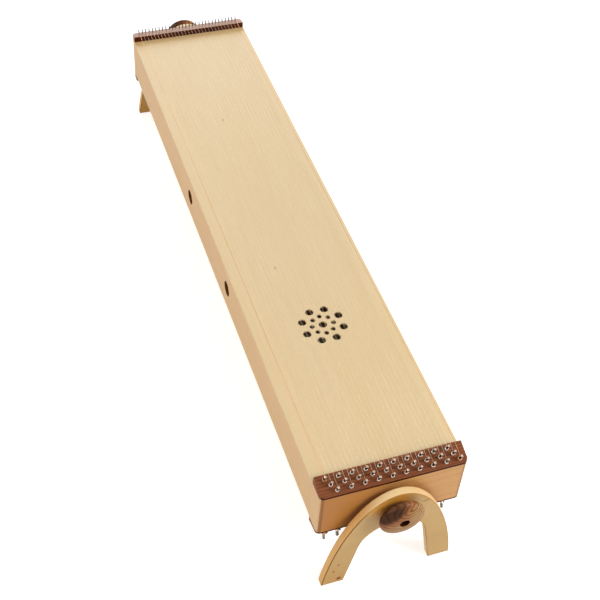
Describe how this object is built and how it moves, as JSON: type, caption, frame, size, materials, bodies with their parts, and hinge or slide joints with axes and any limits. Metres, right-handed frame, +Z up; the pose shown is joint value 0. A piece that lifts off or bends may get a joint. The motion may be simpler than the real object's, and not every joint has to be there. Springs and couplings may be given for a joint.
{
  "type": "monochord",
  "caption": "Long string box with tuning pins at one end and strings on both faces, standing on swivelling arch feet that hand knobs clamp.",
  "frame": {"origin": "on the floor under the middle of the box", "axes": "+X along the box towards the tuning pins, +Y to its right as seen from the tuning pins, +Z up"},
  "size_m": [1.4814, 0.27, 0.2733],
  "materials": {
    "spruce": "satin lacquer",
    "alder": "satin lacquer",
    "walnut": "satin oil",
    "birch": "satin lacquer",
    "striped_wood": "gloss lacquer",
    "nickel": "bright nickel plate",
    "bronze": "bright wound bronze"
  },
  "bodies": {
    "sound_box": {"top_soundboard": "spruce", "bottom_soundboard": "spruce", "left_side": "alder", "right_side": "alder", "near_pin_block": "alder", "far_hitch_block": "alder", "top_brace_frame": "spruce", "bottom_brace_frame": "spruce", "top_tuning_strip": "walnut", "bottom_tuning_strip": "walnut", "top_hitch_strip": "walnut", "bottom_hitch_strip": "walnut", "top_left_bronze_string": "bronze", "top_right_bronze_string": "bronze", "bottom_left_bronze_string": "bronze", "bottom_right_bronze_string": "bronze", "near_bolt": "nickel", "far_bolt": "nickel", "near_spacer": "walnut", "far_spacer": "walnut"},
    "near_arch_foot": {"near_arch": "birch"},
    "near_clamp_washer": {"near_washer": "nickel"},
    "near_hand_knob": {"near_knob": "striped_wood", "near_knob_insert": "nickel"},
    "far_arch_foot": {"far_arch": "birch"},
    "far_clamp_washer": {"far_washer": "nickel"},
    "far_hand_knob": {"far_knob": "striped_wood", "far_knob_insert": "nickel"},
    "tuning_pin_01_body": {"tuning_pin_01": "nickel"},
    "tuning_pin_02_body": {"tuning_pin_02": "nickel"},
    "tuning_pin_03_body": {"tuning_pin_03": "nickel"},
    "tuning_pin_04_body": {"tuning_pin_04": "nickel"},
    "tuning_pin_05_body": {"tuning_pin_05": "nickel"},
    "tuning_pin_06_body": {"tuning_pin_06": "nickel"},
    "tuning_pin_07_body": {"tuning_pin_07": "nickel"},
    "tuning_pin_08_body": {"tuning_pin_08": "nickel"},
    "tuning_pin_09_body": {"tuning_pin_09": "nickel"},
    "tuning_pin_10_body": {"tuning_pin_10": "nickel"},
    "tuning_pin_11_body": {"tuning_pin_11": "nickel"},
    "tuning_pin_12_body": {"tuning_pin_12": "nickel"},
    "tuning_pin_13_body": {"tuning_pin_13": "nickel"},
    "tuning_pin_14_body": {"tuning_pin_14": "nickel"},
    "tuning_pin_15_body": {"tuning_pin_15": "nickel"},
    "tuning_pin_16_body": {"tuning_pin_16": "nickel"},
    "tuning_pin_17_body": {"tuning_pin_17": "nickel"},
    "tuning_pin_18_body": {"tuning_pin_18": "nickel"},
    "tuning_pin_19_body": {"tuning_pin_19": "nickel"},
    "tuning_pin_20_body": {"tuning_pin_20": "nickel"},
    "tuning_pin_21_body": {"tuning_pin_21": "nickel"},
    "tuning_pin_22_body": {"tuning_pin_22": "nickel"},
    "tuning_pin_23_body": {"tuning_pin_23": "nickel"},
    "tuning_pin_24_body": {"tuning_pin_24": "nickel"},
    "tuning_pin_25_body": {"tuning_pin_25": "nickel"},
    "tuning_pin_26_body": {"tuning_pin_26": "nickel"},
    "tuning_pin_27_body": {"tuning_pin_27": "nickel"},
    "tuning_pin_28_body": {"tuning_pin_28": "nickel"},
    "tuning_pin_29_body": {"tuning_pin_29": "nickel"},
    "tuning_pin_30_body": {"tuning_pin_30": "nickel"}
  },
  "joints": [
    {"name": "near_arch_swivel", "type": "hinge", "parent": "sound_box", "child": "near_arch_foot", "pos_m": [0.684, 0, 0.196], "axis": [1, 0, 0], "continuous": true},
    {"name": "far_arch_swivel", "type": "hinge", "parent": "sound_box", "child": "far_arch_foot", "pos_m": [-0.684, 0, 0.196], "axis": [-1, 0, 0], "continuous": true},
    {"name": "near_knob_turn", "type": "hinge", "parent": "near_clamp_washer", "child": "near_hand_knob", "pos_m": [0.684, 0, 0.196], "axis": [1, 0, 0], "range_deg": [0, 1080]},
    {"name": "near_washer_slide", "type": "slide", "parent": "sound_box", "child": "near_clamp_washer", "axis": [1, 0, 0], "range_m": [0, 0.0046]},
    {"name": "far_knob_turn", "type": "hinge", "parent": "far_clamp_washer", "child": "far_hand_knob", "pos_m": [-0.684, 0, 0.196], "axis": [-1, 0, 0], "range_deg": [0, 1080]},
    {"name": "far_washer_slide", "type": "slide", "parent": "sound_box", "child": "far_clamp_washer", "axis": [-1, 0, 0], "range_m": [0, 0.0046]},
    {"name": "tuning_pin_01_turn", "type": "hinge", "parent": "sound_box", "child": "tuning_pin_01_body", "pos_m": [0.6553, -0.11962, 0.25487], "axis": [0.3192, 0, 0.9477], "continuous": true},
    {"name": "tuning_pin_02_turn", "type": "hinge", "parent": "sound_box", "child": "tuning_pin_02_body", "pos_m": [0.6659, -0.11138, 0.2513], "axis": [0.3192, 0, 0.9477], "continuous": true},
    {"name": "tuning_pin_03_turn", "type": "hinge", "parent": "sound_box", "child": "tuning_pin_03_body", "pos_m": [0.6765, -0.10312, 0.24773], "axis": [0.3192, 0, 0.9477], "continuous": true},
    {"name": "tuning_pin_04_turn", "type": "hinge", "parent": "sound_box", "child": "tuning_pin_04_body", "pos_m": [0.6553, -0.09488, 0.25487], "axis": [0.3192, 0, 0.9477], "continuous": true},
    {"name": "tuning_pin_05_turn", "type": "hinge", "parent": "sound_box", "child": "tuning_pin_05_body", "pos_m": [0.6659, -0.08662, 0.2513], "axis": [0.3192, 0, 0.9477], "continuous": true},
    {"name": "tuning_pin_06_turn", "type": "hinge", "parent": "sound_box", "child": "tuning_pin_06_body", "pos_m": [0.6765, -0.07838, 0.24773], "axis": [0.3192, 0, 0.9477], "continuous": true},
    {"name": "tuning_pin_07_turn", "type": "hinge", "parent": "sound_box", "child": "tuning_pin_07_body", "pos_m": [0.6553, -0.07013, 0.25487], "axis": [0.3192, 0, 0.9477], "continuous": true},
    {"name": "tuning_pin_08_turn", "type": "hinge", "parent": "sound_box", "child": "tuning_pin_08_body", "pos_m": [0.6659, -0.06187, 0.2513], "axis": [0.3192, 0, 0.9477], "continuous": true},
    {"name": "tuning_pin_09_turn", "type": "hinge", "parent": "sound_box", "child": "tuning_pin_09_body", "pos_m": [0.6765, -0.05362, 0.24773], "axis": [0.3192, 0, 0.9477], "continuous": true},
    {"name": "tuning_pin_10_turn", "type": "hinge", "parent": "sound_box", "child": "tuning_pin_10_body", "pos_m": [0.6553, -0.04537, 0.25487], "axis": [0.3192, 0, 0.9477], "continuous": true},
    {"name": "tuning_pin_11_turn", "type": "hinge", "parent": "sound_box", "child": "tuning_pin_11_body", "pos_m": [0.6659, -0.03712, 0.2513], "axis": [0.3192, 0, 0.9477], "continuous": true},
    {"name": "tuning_pin_12_turn", "type": "hinge", "parent": "sound_box", "child": "tuning_pin_12_body", "pos_m": [0.6765, -0.02888, 0.24773], "axis": [0.3192, 0, 0.9477], "continuous": true},
    {"name": "tuning_pin_13_turn", "type": "hinge", "parent": "sound_box", "child": "tuning_pin_13_body", "pos_m": [0.6553, -0.02063, 0.25487], "axis": [0.3192, 0, 0.9477], "continuous": true},
    {"name": "tuning_pin_14_turn", "type": "hinge", "parent": "sound_box", "child": "tuning_pin_14_body", "pos_m": [0.6659, -0.01238, 0.2513], "axis": [0.3192, 0, 0.9477], "continuous": true},
    {"name": "tuning_pin_15_turn", "type": "hinge", "parent": "sound_box", "child": "tuning_pin_15_body", "pos_m": [0.6765, -0.00413, 0.24773], "axis": [0.3192, 0, 0.9477], "continuous": true},
    {"name": "tuning_pin_16_turn", "type": "hinge", "parent": "sound_box", "child": "tuning_pin_16_body", "pos_m": [0.6553, 0.00413, 0.25487], "axis": [0.3192, 0, 0.9477], "continuous": true},
    {"name": "tuning_pin_17_turn", "type": "hinge", "parent": "sound_box", "child": "tuning_pin_17_body", "pos_m": [0.6659, 0.01238, 0.2513], "axis": [0.3192, 0, 0.9477], "continuous": true},
    {"name": "tuning_pin_18_turn", "type": "hinge", "parent": "sound_box", "child": "tuning_pin_18_body", "pos_m": [0.6765, 0.02063, 0.24773], "axis": [0.3192, 0, 0.9477], "continuous": true},
    {"name": "tuning_pin_19_turn", "type": "hinge", "parent": "sound_box", "child": "tuning_pin_19_body", "pos_m": [0.6553, 0.02888, 0.25487], "axis": [0.3192, 0, 0.9477], "continuous": true},
    {"name": "tuning_pin_20_turn", "type": "hinge", "parent": "sound_box", "child": "tuning_pin_20_body", "pos_m": [0.6659, 0.03712, 0.2513], "axis": [0.3192, 0, 0.9477], "continuous": true},
    {"name": "tuning_pin_21_turn", "type": "hinge", "parent": "sound_box", "child": "tuning_pin_21_body", "pos_m": [0.6765, 0.04537, 0.24773], "axis": [0.3192, 0, 0.9477], "continuous": true},
    {"name": "tuning_pin_22_turn", "type": "hinge", "parent": "sound_box", "child": "tuning_pin_22_body", "pos_m": [0.6553, 0.05362, 0.25487], "axis": [0.3192, 0, 0.9477], "continuous": true},
    {"name": "tuning_pin_23_turn", "type": "hinge", "parent": "sound_box", "child": "tuning_pin_23_body", "pos_m": [0.6659, 0.06187, 0.2513], "axis": [0.3192, 0, 0.9477], "continuous": true},
    {"name": "tuning_pin_24_turn", "type": "hinge", "parent": "sound_box", "child": "tuning_pin_24_body", "pos_m": [0.6765, 0.07013, 0.24773], "axis": [0.3192, 0, 0.9477], "continuous": true},
    {"name": "tuning_pin_25_turn", "type": "hinge", "parent": "sound_box", "child": "tuning_pin_25_body", "pos_m": [0.6553, 0.07838, 0.25487], "axis": [0.3192, 0, 0.9477], "continuous": true},
    {"name": "tuning_pin_26_turn", "type": "hinge", "parent": "sound_box", "child": "tuning_pin_26_body", "pos_m": [0.6659, 0.08662, 0.2513], "axis": [0.3192, 0, 0.9477], "continuous": true},
    {"name": "tuning_pin_27_turn", "type": "hinge", "parent": "sound_box", "child": "tuning_pin_27_body", "pos_m": [0.6765, 0.09488, 0.24773], "axis": [0.3192, 0, 0.9477], "continuous": true},
    {"name": "tuning_pin_28_turn", "type": "hinge", "parent": "sound_box", "child": "tuning_pin_28_body", "pos_m": [0.6553, 0.10312, 0.25487], "axis": [0.3192, 0, 0.9477], "continuous": true},
    {"name": "tuning_pin_29_turn", "type": "hinge", "parent": "sound_box", "child": "tuning_pin_29_body", "pos_m": [0.6659, 0.11138, 0.2513], "axis": [0.3192, 0, 0.9477], "continuous": true},
    {"name": "tuning_pin_30_turn", "type": "hinge", "parent": "sound_box", "child": "tuning_pin_30_body", "pos_m": [0.6765, 0.11962, 0.24773], "axis": [0.3192, 0, 0.9477], "continuous": true}
  ],
  "couplings": [
    {"joint": "near_washer_slide", "follows": "near_knob_turn", "m_per_rad": 0.00023873},
    {"joint": "far_washer_slide", "follows": "far_knob_turn", "m_per_rad": 0.00023873}
  ]
}
